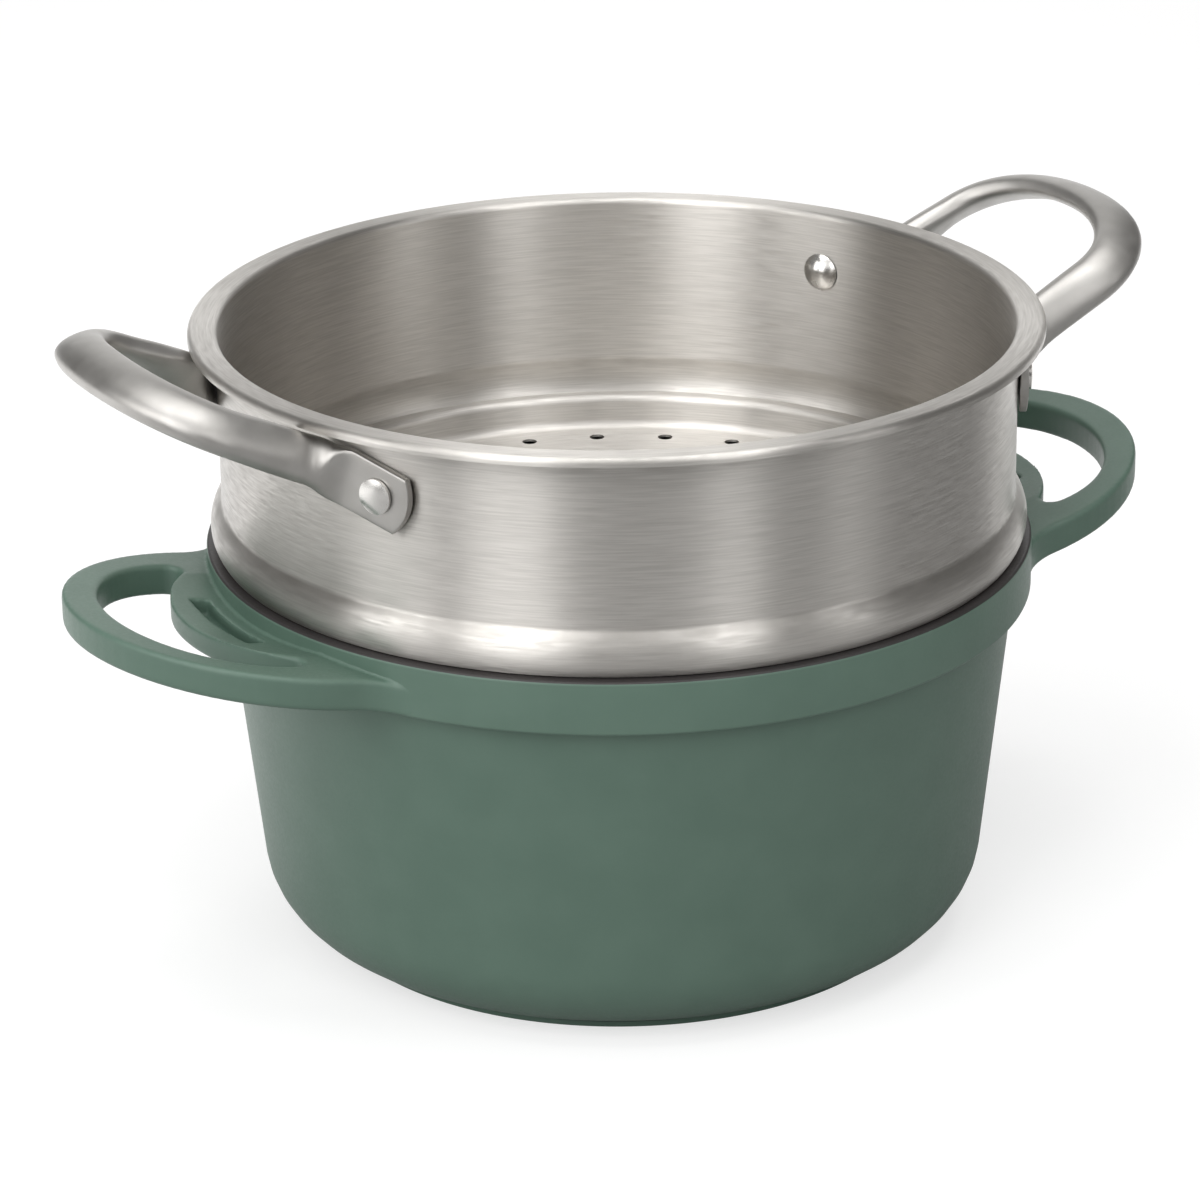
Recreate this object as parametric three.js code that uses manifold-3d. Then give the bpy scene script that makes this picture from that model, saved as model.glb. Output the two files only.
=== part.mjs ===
// Steamer pot: a cast pot with two loop handles, and a steel steamer that stands in its mouth.
// Millimetres, +Z up. The origin is the middle of the underside and the handles lie along X.
import * as THREE from 'three';
import { mergeVertices } from 'three/addons/utils/BufferGeometryUtils.js';
import Module from 'manifold-3d';

const wasm = await Module();
wasm.setup();

// Clearance between pieces that touch on the real object
const FIT_GAP = 0.3;

// Cast pot
const POT_HEIGHT = 124.5;
const BAND_RADIUS = 126;
const BAND_HEIGHT = 16.6;
const BAND_OVERHANG = 5.1;
const BODY_DRAFT = 6.1;
const BODY_CORNER = 24;
const POT_WALL = 3.4;
const POT_FLOOR = 5.5;
const FOOT_INSET = 32.5;
const FOOT_HEIGHT = 2.1;
const RIM_ROUND = 1.2;
const RIM_WIDTH = 6.8;
const MOUTH_DEPTH = 13;
const MOUTH_STEP = 1.5;

// Steel disc let into the underside for induction hobs
const FOOT_RING_WIDTH = 15.5;
const DISC_THICKNESS = 1.2;

// Loop handles of the pot, in the same casting
const HANDLE_REACH = 53;
const HANDLE_HALF_WIDTH = 60;
const HANDLE_THICKNESS = 9.8;
const HANDLE_DROP = 3.3;
const HANDLE_TILT = 10.6;
const HANDLE_BLEND = 18;
const HANDLE_EDGE = 1.6;
const GRIP_TIP_WIDTH = 11;
const GRIP_SIDE_WIDTH = 14;
const BRIDGE_WIDTH = 19;
const BRIDGE_CURVE = 57;
const BRIDGE_DIP = 2.8;
const BRIDGE_DIP_WIDTH = 76;
const DIP_OVERRUN = 5;
const HOLE_CORNER = 4;
const POCKET_FROM_BAND = 5;
const POCKET_WIDTH = 5.4;
const POCKET_LENGTH = 40;
const POCKET_DEPTH = 4.5;

// Steamer, drawn from one steel sheet. It stands in the pot turned by a small angle.
const STEAMER_TURN = -1.6;
const SHEET = 0.8;
const WALL_OVER_MOUTH = 1.6;
const STEAMER_HEIGHT = 67.6;
const FLANGE_WIDTH = 8.2;
const FLANGE_FILLET = 4;
const LIP_ROUND = 1;
const LIP_DROP = 1.8;
const BEAD_PROUD = 3.6;
const BEAD_HEIGHT = 14.1;
const BEAD_CURVE = 9.6;
const BEAD_FILLET = 2;
const PLUG_CLEARANCE = 1.2;
const PLUG_DEPTH = 10.6;
const PLUG_CORNER = 3.7;
const SHELF_CORNER = 1.6;

// Steam holes: ring n holds six times n holes
const HOLE_RINGS = 5;
const HOLES_PER_STEP = 6;
const HOLE_DIAMETER = 4.8;
const HOLE_MARGIN = 10.8;

// Rivets of the steamer handles
const RIVET_ANGLE = 28.9;
const RIVET_DROP = 19.4;
const SHANK_DIAMETER = 4;
const OUTER_HEAD_DIAMETER = 10.5;
const OUTER_HEAD_HEIGHT = 1.7;
const INNER_HEAD_DIAMETER = 12;
const INNER_HEAD_HEIGHT = 3.2;

// Steamer handles: a tube loop whose flattened ends are riveted to the wall
const TAB_WIDTH = 18;
const TAB_THICKNESS = 2.6;
const TAB_TILT = 16.5;
const TAB_PAST_RIVET = 10.7;
const TAB_END_CURVE = 15;
const TAB_LENGTH = 19.1;
const TAB_FLAT = 7;
const BEND_LENGTH = 9;
const PINCH_START = 0.35;
const LOOP_REACH = 45.9;
const LOOP_HALF_WIDTH = 42;
const LOOP_END_DEPTH = 25.6;
const LOOP_SQUARENESS = 0.91;
const LOOP_TILT = 26.5;
const TIP_SECTION_WIDTH = 15.1;
const TIP_SECTION_THICKNESS = 7.3;
const ARM_SECTION_WIDTH = 14.4;
const ARM_SECTION_THICKNESS = 8.4;
const TIP_LEAN = 18.5;
const ARM_LEAN = 57;
const UPRIGHT_AT = 0.5;

// Powers of the rounded section: outer side, flatter inner side, flattened tab
const OUTER_POWER = 0.9;
const INNER_POWER = 0.5;
const TAB_POWER = 0.25;

// Facets
const TURN_STEPS = 48;
const ARC_STEPS = 4;
const SMALL_ARC_STEPS = 2;
const SHEET_ARC_STEPS = 3;
const CURVE_STEPS = 5;
const EDGE_STEPS = 2;
const LOOP_STEPS = 6;
const BEND_STEPS = 5;
const TAB_END_STEPS = 4;
const HOLE_SIDES = 6;
const RIVET_SIDES = 10;
const SECTION_POINTS = 12;
const MIN_EDGE = 0.01;
const MERGE_DISTANCE = 1e-4;

// Heights and radii that follow from the driving dimensions
const radians = THREE.MathUtils.degToRad;
const BAND_BOTTOM = POT_HEIGHT - BAND_HEIGHT;
const SEAT_Z = POT_HEIGHT + FIT_GAP;
const FLOOR_Z = SEAT_Z - PLUG_DEPTH;
const STEAMER_TOP = SEAT_Z + STEAMER_HEIGHT;
const FOOT_RADIUS = BAND_RADIUS - FOOT_INSET;
const DISC_RADIUS = FOOT_RADIUS - FOOT_RING_WIDTH;
const MOUTH_RADIUS = BAND_RADIUS - RIM_WIDTH;
const STEAMER_RADIUS = MOUTH_RADIUS + WALL_OVER_MOUTH;
const PLUG_RADIUS = MOUTH_RADIUS - PLUG_CLEARANCE;
const RIVET_Z = STEAMER_TOP - RIVET_DROP;
const HANDLE_TOP_Z = POT_HEIGHT - HANDLE_DROP;
const HANDLE_SLOPE = Math.tan(radians(HANDLE_TILT));

const greenCoating = { color: 0x5f776b, roughness: 0.55, metalness: 0.0 };
const brushedSteel = { color: 0xb9b4ad, roughness: 0.32, metalness: 1.0 };
const polishedSteel = { color: 0xc6c2bc, roughness: 0.2, metalness: 1.0 };
const rivetSteel = { color: 0xcfcdc9, roughness: 0.25, metalness: 1.0 };
const discSteel = { color: 0x9c9c9a, roughness: 0.4, metalness: 1.0 };

// A closed triangle mesh as a solid that can be joined and cut
function solid(geometry) {
  const bare = geometry.index ? geometry : geometry.clone();
  for (const name of ['normal', 'uv']) bare.deleteAttribute(name);
  const merged = mergeVertices(bare, MERGE_DISTANCE);
  const corners = merged.index.array;
  const triangles = [];
  for (let i = 0; i < corners.length; i += 3) {
    const [a, b, c] = corners.slice(i, i + 3);
    if (a !== b && b !== c && c !== a) triangles.push(a, b, c);
  }
  const mesh = new wasm.Mesh({
    numProp: 3,
    vertProperties: new Float32Array(merged.attributes.position.array),
    triVerts: new Uint32Array(triangles),
  });
  return new wasm.Manifold(mesh);
}

function geometryOf(body) {
  const mesh = body.getMesh();
  const geometry = new THREE.BufferGeometry();
  geometry.setAttribute('position', new THREE.BufferAttribute(mesh.vertProperties, mesh.numProp));
  geometry.setIndex(new THREE.BufferAttribute(mesh.triVerts, 1));
  return geometry;
}

function joined(bodies) {
  return bodies.reduce((whole, body) => whole.add(body));
}

// Points of a circular arc in the (radius, height) plane, angles in degrees
function arc(centreR, centreZ, radius, from, to, steps = ARC_STEPS) {
  return Array.from({ length: steps + 1 }, (_, i) => {
    const angle = radians(from + ((to - from) * i) / steps);
    return new THREE.Vector2(centreR + radius * Math.cos(angle), centreZ + radius * Math.sin(angle));
  });
}

function point(radius, height) {
  return new THREE.Vector2(radius, height);
}

// Turn a (radius, height) profile round the Z axis
function revolve(profile, steps = TURN_STEPS) {
  return new THREE.LatheGeometry(profile, steps).rotateX(Math.PI / 2);
}

// Both faces of a sheet whose middle line is given, from the axis outwards
function sheetProfile(middle, thickness) {
  const faces = [[], []];
  middle.forEach((here, i) => {
    const before = middle[Math.max(i - 1, 0)];
    const after = middle[Math.min(i + 1, middle.length - 1)];
    const arriving = here.clone().sub(before).normalize();
    const leaving = after.clone().sub(here).normalize();
    const along = arriving.add(leaving).normalize();
    const stretch = leaving.lengthSq() > 0 ? along.dot(leaving) : 1;
    const side = point(along.y, -along.x).multiplyScalar(thickness / 2 / stretch);
    faces[0].push(here.clone().add(side));
    faces[1].push(here.clone().sub(side));
  });
  return [...faces[0], ...faces[1].reverse()];
}

// Triangles that fill a flat ring, turned the same way as the ring
function capTriangles(ring) {
  const across = ring[1].clone().sub(ring[0]).normalize();
  const normal = new THREE.Vector3();
  ring.forEach((corner, i) => normal.add(corner.clone().cross(ring[(i + 1) % ring.length])));
  const upward = normal.normalize().cross(across);
  const flat = ring.map((corner) => new THREE.Vector2(corner.dot(across), corner.dot(upward)));
  return THREE.ShapeUtils.triangulateShape(flat, []);
}

// Skin over a row of rings with the same number of points, closed at both ends
function loft(rings) {
  const count = rings[0].length;
  const positions = rings.flat().flatMap((corner) => corner.toArray());
  const triangles = [];
  for (let ring = 0; ring + 1 < rings.length; ring += 1) {
    for (let i = 0; i < count; i += 1) {
      const here = ring * count + i;
      const beside = ring * count + ((i + 1) % count);
      triangles.push(here, beside, beside + count, here, beside + count, here + count);
    }
  }
  const last = (rings.length - 1) * count;
  for (const [a, b, c] of capTriangles(rings[0])) triangles.push(a, c, b);
  for (const [a, b, c] of capTriangles(rings[rings.length - 1])) triangles.push(last + a, last + b, last + c);
  const geometry = new THREE.BufferGeometry();
  geometry.setAttribute('position', new THREE.Float32BufferAttribute(positions, 3));
  geometry.setIndex(triangles);
  return geometry;
}

// Radius of the drafted outer wall at a height
function bodyRadius(z) {
  return BAND_RADIUS - BAND_OVERHANG - (BAND_BOTTOM - z) * Math.tan(radians(BODY_DRAFT));
}

// Round corner between a flat floor and the drafted wall, moved in from the outside by an inset
function bodyCorner(floorZ, radius, inset) {
  const centreZ = floorZ + radius;
  const centreR = bodyRadius(centreZ) - inset - radius / Math.cos(radians(BODY_DRAFT));
  return arc(centreR, centreZ, radius, -90, -BODY_DRAFT);
}

function potOutside() {
  const body = revolve([
    point(0, FOOT_HEIGHT),
    ...bodyCorner(FOOT_HEIGHT, BODY_CORNER, 0),
    point(bodyRadius(BAND_BOTTOM), BAND_BOTTOM),
    ...arc(BAND_RADIUS - RIM_ROUND, BAND_BOTTOM + RIM_ROUND, RIM_ROUND, -90, 0, SMALL_ARC_STEPS),
    ...arc(BAND_RADIUS - RIM_ROUND, POT_HEIGHT - RIM_ROUND, RIM_ROUND, 0, 90, SMALL_ARC_STEPS),
    point(0, POT_HEIGHT),
  ]);
  const footTop = FOOT_HEIGHT + POT_FLOOR / 2;
  const foot = revolve([point(0, 0), point(FOOT_RADIUS, 0), point(FOOT_RADIUS, footTop), point(0, footTop)]);
  return solid(body).add(solid(foot));
}

function potCavity() {
  const mouthBottom = POT_HEIGHT - MOUTH_DEPTH;
  const stepBottom = mouthBottom - MOUTH_STEP;
  const above = POT_HEIGHT + RIM_ROUND;
  return solid(revolve([
    point(0, FOOT_HEIGHT + POT_FLOOR),
    ...bodyCorner(FOOT_HEIGHT + POT_FLOOR, BODY_CORNER - POT_WALL, POT_WALL),
    point(bodyRadius(stepBottom) - POT_WALL, stepBottom),
    point(MOUTH_RADIUS, mouthBottom),
    ...arc(MOUTH_RADIUS + RIM_ROUND, POT_HEIGHT - RIM_ROUND, RIM_ROUND, 180, 90, SMALL_ARC_STEPS),
    point(MOUTH_RADIUS + RIM_ROUND, above),
    point(0, above),
  ]));
}

function discRecess() {
  const radius = DISC_RADIUS + FIT_GAP;
  const top = DISC_THICKNESS + FIT_GAP;
  const below = -DISC_THICKNESS;
  return solid(revolve([point(0, below), point(radius, below), point(radius, top), point(0, top)]));
}

// Plan of the loop: an ellipse whose sides run into the band through hollow blends.
// Both plans can be let out by an amount, and keep the same number of points.
function loopOutline(grow) {
  const blendY = HANDLE_HALF_WIDTH + HANDLE_BLEND;
  const blendX = Math.sqrt((BAND_RADIUS + HANDLE_BLEND) ** 2 - blendY ** 2);
  const rootAngle = Math.atan2(blendY, blendX);
  const rootX = (BAND_RADIUS - POT_WALL) * Math.cos(rootAngle);
  const rootY = (BAND_RADIUS - POT_WALL) * Math.sin(rootAngle);
  const reach = BAND_RADIUS + HANDLE_REACH - blendX + grow;
  const blend = HANDLE_BLEND - grow;
  const outline = new THREE.Path();
  outline.moveTo(rootX, -rootY);
  outline.absarc(blendX, -blendY, blend, Math.PI - rootAngle, Math.PI / 2, true);
  outline.absellipse(blendX, 0, reach, HANDLE_HALF_WIDTH + grow, -Math.PI / 2, Math.PI / 2, false, 0);
  outline.absarc(blendX, blendY, blend, -Math.PI / 2, rootAngle - Math.PI, true);
  outline.lineTo(rootX, rootY);
  return outlinePoints(outline);
}

// Plan of the finger hole: the bridge bulges into it between two small round corners
function fingerHole(grow) {
  const halfWidth = HANDLE_HALF_WIDTH - GRIP_SIDE_WIDTH;
  const cornerY = halfWidth - HOLE_CORNER;
  const bridgeX = BAND_RADIUS + BRIDGE_WIDTH - BRIDGE_CURVE;
  const holeX = bridgeX + Math.sqrt((BRIDGE_CURVE + HOLE_CORNER) ** 2 - cornerY ** 2);
  const depth = BAND_RADIUS + HANDLE_REACH - GRIP_TIP_WIDTH - holeX + grow;
  const corner = HOLE_CORNER + grow;
  const meet = Math.atan2(cornerY, holeX - bridgeX);
  const hole = new THREE.Path();
  hole.absellipse(holeX, 0, depth, halfWidth + grow, -Math.PI / 2, Math.PI / 2, false, 0);
  hole.absarc(holeX, cornerY, corner, Math.PI / 2, Math.PI + meet, false);
  hole.absarc(bridgeX, 0, BRIDGE_CURVE - grow, meet, -meet, true);
  hole.absarc(holeX, -cornerY, corner, Math.PI - meet, Math.PI * 1.5, false);
  return outlinePoints(hole);
}

// Points of a closed outline, without the doubled ones where its curves meet
function outlinePoints(path) {
  const points = path.getPoints(CURVE_STEPS);
  return points.filter((corner, i) => corner.distanceTo(points[(i + 1) % points.length]) > MIN_EDGE);
}

// Tip a level plate so that it rises outwards from the band
function tilted(geometry) {
  const shear = new THREE.Matrix4().makeShear(0, HANDLE_SLOPE, 0, 0, 0, 0);
  return geometry.translate(-BAND_RADIUS, 0, 0).applyMatrix4(shear).translate(BAND_RADIUS, 0, HANDLE_TOP_Z);
}

// A plate as thick as the handle whose plan changes by an amount at its two round-edged faces.
// It reaches past both faces where it is used to cut.
function edgedPlate(plan, change, past) {
  const ring = (grow, z) => plan(grow).map((corner) => new THREE.Vector3(corner.x, corner.y, z));
  const edge = [];
  for (let step = 0; step <= EDGE_STEPS; step += 1) {
    const turn = (step / EDGE_STEPS) * (Math.PI / 2);
    edge.push({ grow: change * (1 - Math.sin(turn)), depth: HANDLE_EDGE * (1 - Math.cos(turn)) });
  }
  if (past > 0) edge.unshift({ grow: change, depth: -past });
  const lower = edge.map(({ grow, depth }) => ring(grow, depth - HANDLE_THICKNESS));
  const upper = edge.map(({ grow, depth }) => ring(grow, -depth)).reverse();
  return solid(tilted(loft([...lower, ...upper])));
}

function loopPlate() {
  return edgedPlate(loopOutline, -HANDLE_EDGE, 0).subtract(edgedPlate(fingerHole, HANDLE_EDGE, HANDLE_EDGE));
}

// The bridge beside the band is dished: lowest in the middle, level with the loop at its ends
function bridgeDish() {
  const half = BRIDGE_DIP_WIDTH / 2;
  const radius = (half ** 2 + BRIDGE_DIP ** 2) / (2 * BRIDGE_DIP);
  const halfAngle = Math.asin(half / radius);
  const section = new THREE.Shape();
  section.absarc(0, radius - BRIDGE_DIP, radius, -Math.PI / 2 - halfAngle, -Math.PI / 2 + halfAngle, false);
  section.lineTo(half, BRIDGE_DIP);
  section.lineTo(-half, BRIDGE_DIP);
  const dish = new THREE.ExtrudeGeometry(section, {
    depth: BRIDGE_WIDTH + 2 * DIP_OVERRUN,
    bevelEnabled: false,
    curveSegments: CURVE_STEPS,
  });
  const axes = new THREE.Matrix4().set(0, 0, 1, 0, 1, 0, 0, 0, 0, 1, 0, 0, 0, 0, 0, 1);
  return solid(tilted(dish.applyMatrix4(axes).translate(BAND_RADIUS - DIP_OVERRUN, 0, 0)));
}

// Blind pocket in the bridge, curved with the band
function bridgePocket() {
  const inner = BAND_RADIUS + POCKET_FROM_BAND;
  const outer = inner + POCKET_WIDTH;
  const halfAngle = POCKET_LENGTH / 2 / (inner + POCKET_WIDTH / 2);
  const shape = new THREE.Shape();
  shape.absarc(0, 0, outer, -halfAngle, halfAngle, false);
  shape.absarc(0, 0, inner, halfAngle, -halfAngle, true);
  const pocket = new THREE.ExtrudeGeometry(shape, {
    depth: BRIDGE_DIP + POCKET_DEPTH,
    bevelEnabled: false,
    curveSegments: CURVE_STEPS,
  });
  return solid(tilted(pocket.translate(0, 0, -BRIDGE_DIP - POCKET_DEPTH)));
}

function potBody() {
  const loop = loopPlate().subtract(bridgeDish()).subtract(bridgePocket());
  const handles = [loop, loop.rotate([0, 0, 180])];
  return joined([potOutside(), ...handles]).subtract(potCavity()).subtract(discRecess());
}

function inductionDisc() {
  const chamfer = FIT_GAP;
  return solid(revolve([
    point(0, 0),
    point(DISC_RADIUS - chamfer, 0),
    point(DISC_RADIUS, chamfer),
    point(DISC_RADIUS, DISC_THICKNESS),
    point(0, DISC_THICKNESS),
  ]));
}

// Middle line of the steamer's sheet, from the floor's centre out to the rolled lip
function steamerMiddleLine() {
  const half = SHEET / 2;
  const floor = FLOOR_Z + half;
  const plug = PLUG_RADIUS - half;
  const shelf = SEAT_Z + half;
  const wall = STEAMER_RADIUS - half;
  const top = STEAMER_TOP - half;
  const lip = STEAMER_RADIUS + FLANGE_WIDTH - half;
  const beadR = wall + BEAD_PROUD - BEAD_CURVE;
  const filletZ = SEAT_Z + BEAD_HEIGHT;
  const filletR = wall + BEAD_FILLET;
  const beadTop = THREE.MathUtils.radToDeg(Math.acos((filletR - beadR) / (BEAD_CURVE + BEAD_FILLET)));
  const beadZ = filletZ - (BEAD_CURVE + BEAD_FILLET) * Math.sin(radians(beadTop));
  const beadBottom = -THREE.MathUtils.radToDeg(Math.asin((beadZ - shelf) / BEAD_CURVE));
  return [
    point(0, floor),
    ...arc(plug - PLUG_CORNER, floor + PLUG_CORNER, PLUG_CORNER, -90, 0, SMALL_ARC_STEPS),
    ...arc(plug + SHELF_CORNER, shelf - SHELF_CORNER, SHELF_CORNER, 180, 90, SMALL_ARC_STEPS),
    ...arc(beadR, beadZ, BEAD_CURVE, beadBottom, beadTop, SHEET_ARC_STEPS).slice(0, -1),
    ...arc(filletR, filletZ, BEAD_FILLET, 180 + beadTop, 180, SMALL_ARC_STEPS),
    ...arc(wall + FLANGE_FILLET, top - FLANGE_FILLET, FLANGE_FILLET, 180, 90, SHEET_ARC_STEPS),
    ...arc(lip - LIP_ROUND, top - LIP_ROUND, LIP_ROUND, 90, 0, SMALL_ARC_STEPS),
    point(lip, STEAMER_TOP - LIP_DROP),
  ];
}

// A round bar along Z, centred on the origin
function bar(diameter, length, sides) {
  return new THREE.CylinderGeometry(diameter / 2, diameter / 2, length, sides).rotateX(Math.PI / 2);
}

function steamHoles() {
  const drill = () => bar(HOLE_DIAMETER, SHEET * 4, HOLE_SIDES).translate(0, 0, FLOOR_Z + SHEET / 2);
  const pitch = (PLUG_RADIUS - HOLE_MARGIN) / HOLE_RINGS;
  const drills = [solid(drill())];
  for (let ring = 1; ring <= HOLE_RINGS; ring += 1) {
    const count = ring * HOLES_PER_STEP;
    for (let i = 0; i < count; i += 1) {
      const angle = ((i + 0.5) / count) * 2 * Math.PI;
      drills.push(solid(drill().translate(ring * pitch, 0, 0).rotateZ(angle)));
    }
  }
  return joined(drills);
}

// Matrix of a place on the steamer's wall: local X points straight out of the wall
function wallPlace(angle) {
  const turn = new THREE.Matrix4().makeRotationZ(radians(angle));
  return turn.multiply(new THREE.Matrix4().makeTranslation(STEAMER_RADIUS, 0, RIVET_Z));
}

function shankDrill(angle) {
  const diameter = SHANK_DIAMETER + 2 * FIT_GAP;
  const drill = bar(diameter, INNER_HEAD_DIAMETER, RIVET_SIDES).rotateY(Math.PI / 2);
  return solid(drill.applyMatrix4(wallPlace(angle)));
}

const rivetAngles = [-RIVET_ANGLE, RIVET_ANGLE, 180 - RIVET_ANGLE, 180 + RIVET_ANGLE];

function steamerBasket() {
  const sheet = solid(revolve(sheetProfile(steamerMiddleLine(), SHEET)));
  const drills = joined([steamHoles(), ...rivetAngles.map(shankDrill)]);
  return sheet.subtract(drills);
}

function smooth(amount) {
  return THREE.MathUtils.smoothstep(amount, 0, 1);
}

// Half of the handle's centre line, from the tip of the loop to the end of one flattened tab.
// Each station has its place, the section's width and thickness, its lean and how flat it is.
// Round the bend a section turns upright and stands off the line, so that its inner face stays on the
// wall, and only then is it pinched flat.
function handleStations() {
  const angle = radians(RIVET_ANGLE);
  const tabR = STEAMER_RADIUS + FIT_GAP + TAB_THICKNESS / 2;
  const rivet = new THREE.Vector3(tabR * Math.cos(angle), tabR * Math.sin(angle), RIVET_Z);
  const tilt = radians(TAB_TILT);
  const tabAxis = new THREE.Vector3(
    Math.sin(angle) * Math.cos(tilt), -Math.cos(angle) * Math.cos(tilt), Math.sin(tilt),
  );
  const onTab = (distance) => rivet.clone().addScaledVector(tabAxis, distance);
  const corner = onTab(TAB_LENGTH);
  const rise = Math.tan(radians(LOOP_TILT));
  const endX = STEAMER_RADIUS + LOOP_REACH - LOOP_END_DEPTH;
  const loopPoint = (x, y) => new THREE.Vector3(x, y, corner.z + (x - corner.x) * rise);
  const armEnd = loopPoint(endX, LOOP_HALF_WIDTH);
  const armWay = armEnd.clone().sub(corner).normalize();
  const armStart = corner.clone().addScaledVector(armWay, BEND_LENGTH);
  const bend = new THREE.QuadraticBezierCurve3(armStart, corner, onTab(TAB_LENGTH - BEND_LENGTH));
  const stations = [];

  const loopStation = (place) => {
    const out = smooth((place.x - armStart.x) / (endX + LOOP_END_DEPTH - armStart.x));
    stations.push({
      place,
      width: THREE.MathUtils.lerp(ARM_SECTION_WIDTH, TIP_SECTION_WIDTH, out),
      thickness: THREE.MathUtils.lerp(ARM_SECTION_THICKNESS, TIP_SECTION_THICKNESS, out),
      lean: THREE.MathUtils.lerp(ARM_LEAN, TIP_LEAN, out),
      standOff: 0,
      flat: 0,
    });
  };
  const tabStation = (place, width, round, flat) => {
    const thickness = THREE.MathUtils.lerp(ARM_SECTION_THICKNESS, TAB_THICKNESS, flat);
    stations.push({
      place,
      width: THREE.MathUtils.lerp(ARM_SECTION_WIDTH, width, flat),
      thickness,
      lean: THREE.MathUtils.lerp(ARM_LEAN, 90, Math.min(round / UPRIGHT_AT, 1)),
      standOff: (round * (thickness - TAB_THICKNESS)) / 2,
      flat,
    });
  };

  for (let step = 0; step <= LOOP_STEPS; step += 1) {
    const turn = (step / LOOP_STEPS) * (Math.PI / 2);
    const x = endX + LOOP_END_DEPTH * Math.abs(Math.cos(turn)) ** LOOP_SQUARENESS;
    loopStation(loopPoint(x, LOOP_HALF_WIDTH * Math.sin(turn) ** LOOP_SQUARENESS));
  }
  loopStation(armEnd.clone().lerp(armStart, 0.5));
  loopStation(armStart);
  for (let step = 1; step <= BEND_STEPS; step += 1) {
    const share = step / BEND_STEPS;
    const pinch = (share - PINCH_START) / (1 - PINCH_START);
    tabStation(bend.getPoint(share), TAB_WIDTH, smooth(share), smooth(pinch));
  }
  tabStation(onTab(TAB_FLAT), TAB_WIDTH, 1, 1);
  for (let step = 0; step < TAB_END_STEPS; step += 1) {
    const halfWidth = (TAB_WIDTH / 2) * Math.cos((step / TAB_END_STEPS) * (Math.PI / 2));
    const fromCentre = Math.sqrt(TAB_END_CURVE ** 2 - halfWidth ** 2);
    tabStation(onTab(TAB_END_CURVE - TAB_PAST_RIVET - fromCentre), halfWidth * 2, 1, 1);
  }
  return stations;
}

// Section of the tube: round outside, flatter inside; where it is flattened it becomes a strip
function handleSection(station, along, outward) {
  const up = new THREE.Vector3(0, 0, 1).addScaledVector(along, -along.z).normalize();
  const lean = radians(station.lean);
  const wide = outward.clone().multiplyScalar(-Math.cos(lean)).addScaledVector(up, Math.sin(lean));
  const thin = outward.clone().multiplyScalar(Math.sin(lean)).addScaledVector(up, Math.cos(lean));
  const ring = [];
  for (let i = 0; i < SECTION_POINTS; i += 1) {
    const angle = ((i + 0.5) / SECTION_POINTS) * 2 * Math.PI;
    const rounded = Math.sin(angle) > 0 ? OUTER_POWER : INNER_POWER;
    const power = THREE.MathUtils.lerp(rounded, TAB_POWER, station.flat);
    const across = Math.sign(Math.cos(angle)) * Math.abs(Math.cos(angle)) ** power;
    const through = Math.sign(Math.sin(angle)) * Math.abs(Math.sin(angle)) ** power;
    ring.push(station.place.clone()
      .addScaledVector(wide, (across * station.width) / 2)
      .addScaledVector(thin, (through * station.thickness) / 2 + station.standOff));
  }
  return ring;
}

function steamerHandle() {
  const half = handleStations();
  const mirrored = half.slice(1).map((station) => ({
    ...station,
    place: station.place.clone().multiply(new THREE.Vector3(1, -1, 1)),
  }));
  const stations = [...mirrored.reverse(), ...half];
  const rings = stations.map((station, i) => {
    const before = stations[Math.max(i - 1, 0)].place;
    const after = stations[Math.min(i + 1, stations.length - 1)].place;
    const along = after.clone().sub(before).normalize();
    const outward = new THREE.Vector3(along.y, -along.x, 0).normalize();
    return handleSection(station, along, outward);
  });
  return solid(loft(rings)).subtract(shankDrill(RIVET_ANGLE)).subtract(shankDrill(-RIVET_ANGLE));
}

// Profile of a dome from its edge to its crown, which lies above or below the edge
function dome(halfWidth, height, edgeZ, way) {
  const radius = (halfWidth ** 2 + height ** 2) / (2 * height);
  const halfAngle = THREE.MathUtils.radToDeg(Math.asin(halfWidth / radius));
  return arc(0, edgeZ + way * (height - radius), radius, way * (90 - halfAngle), way * 90);
}

// Rivet with its axis along local X, which points out of the wall; local zero is the wall's outside
function rivet() {
  const headInside = INNER_HEAD_DIAMETER / 2;
  const headOutside = OUTER_HEAD_DIAMETER / 2;
  const wallInside = STEAMER_RADIUS - SHEET;
  const hollow = wallInside - Math.sqrt(wallInside ** 2 - headInside ** 2);
  const innerSeat = -SHEET - hollow - FIT_GAP;
  const outerSeat = FIT_GAP + TAB_THICKNESS + FIT_GAP;
  const brim = OUTER_HEAD_HEIGHT / 2;
  const profile = [
    ...dome(headInside, INNER_HEAD_HEIGHT, innerSeat, -1).reverse(),
    point(SHANK_DIAMETER / 2, innerSeat),
    point(SHANK_DIAMETER / 2, outerSeat),
    point(headOutside, outerSeat),
    ...dome(headOutside, OUTER_HEAD_HEIGHT - brim, outerSeat + brim, 1),
  ];
  return solid(revolve(profile, RIVET_SIDES).rotateY(Math.PI / 2));
}

function piece(name, body, finish) {
  const mesh = new THREE.Mesh(geometryOf(body), new THREE.MeshStandardMaterial(finish));
  mesh.name = name;
  return mesh;
}

const steamerPot = new THREE.Group();
steamerPot.add(piece('pot_body', potBody(), greenCoating));
steamerPot.add(piece('induction_disc', inductionDisc(), discSteel));

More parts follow.
